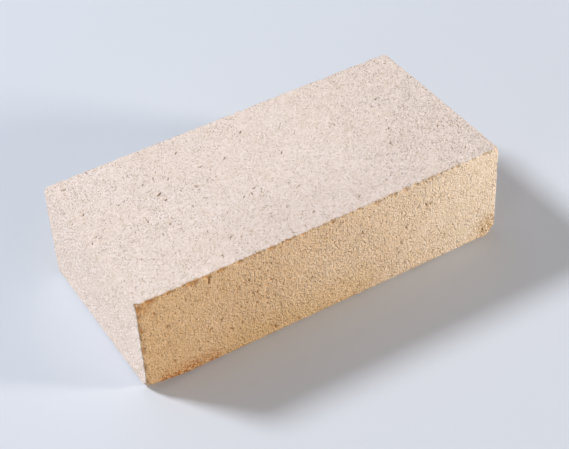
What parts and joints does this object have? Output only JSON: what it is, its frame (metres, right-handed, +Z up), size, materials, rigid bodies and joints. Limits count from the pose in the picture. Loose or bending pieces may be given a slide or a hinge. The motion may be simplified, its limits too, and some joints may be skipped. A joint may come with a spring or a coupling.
{
  "type": "insulating brick",
  "caption": "Plain rectangular insulating firebrick of light porous ceramic, with ground faces, eased arrises and lightly knocked corners.",
  "frame": {"origin": "centre of the bed face, at the height of the level floor that the brick lies on", "axes": "+X along the length, +Y across the width, +Z up through the thickness, from the lower bed face to the upper one"},
  "size_m": [0.23, 0.114, 0.064],
  "materials": {
    "porous_ceramic": "unglazed fired ceramic, matt and finely porous, pinkish cream"
  },
  "bodies": {
    "root": {"brick": "porous_ceramic"}
  },
  "joints": []
}
